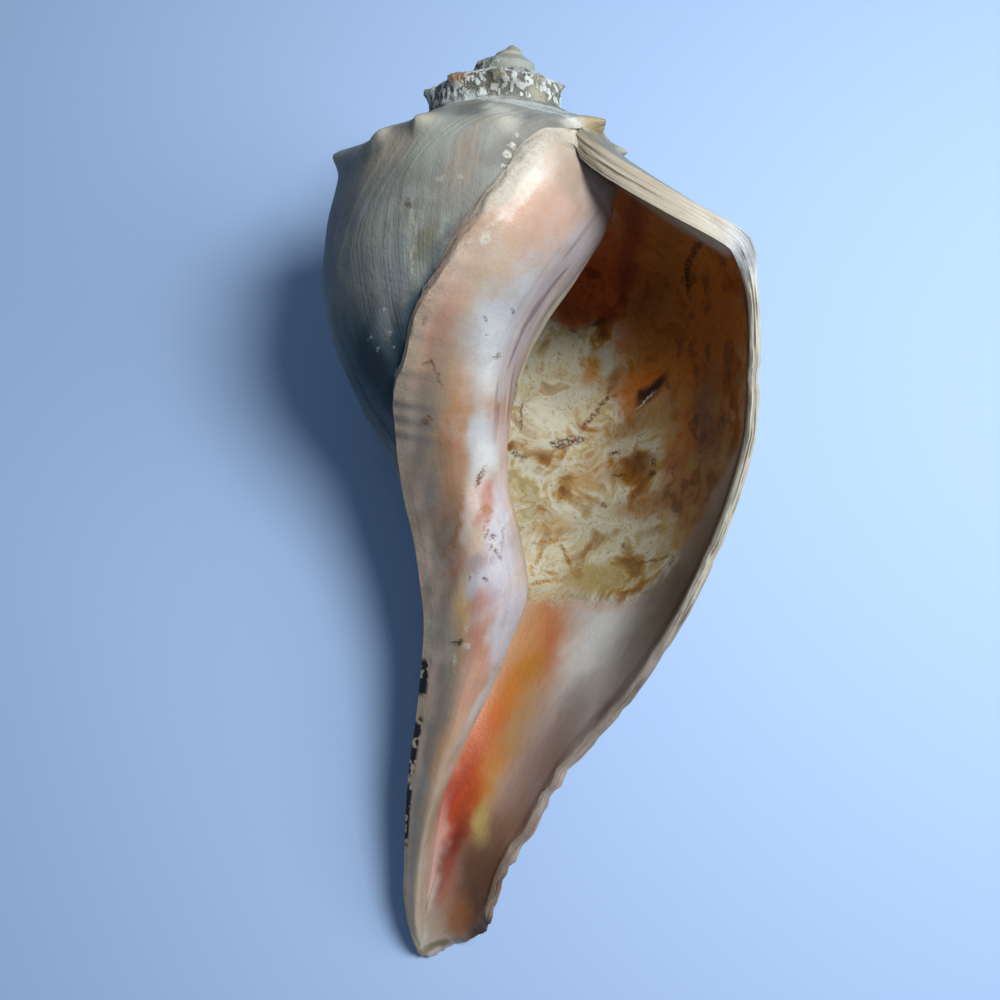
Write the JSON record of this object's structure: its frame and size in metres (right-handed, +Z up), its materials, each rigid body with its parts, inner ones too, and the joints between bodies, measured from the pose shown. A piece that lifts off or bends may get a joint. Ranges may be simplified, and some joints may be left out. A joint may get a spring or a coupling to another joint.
{
  "type": "knobbed whelk shell",
  "caption": "Dextral spiral sea shell lying on its back, mouth up, with a low knobbed spire, a wide flaring outer lip and a long open canal",
  "frame": {"origin": "middle of the bounding box on the surface that the shell lies on", "axes": "+Z up through the mouth, +Y along the shell's axis towards the apex, +X towards the outer lip"},
  "size_m": [0.0912, 0.1872, 0.0751],
  "materials": {
    "shell": "worn chalky outside, glazed inner lip"
  },
  "bodies": {
    "root": {"shell": "shell"}
  },
  "joints": []
}
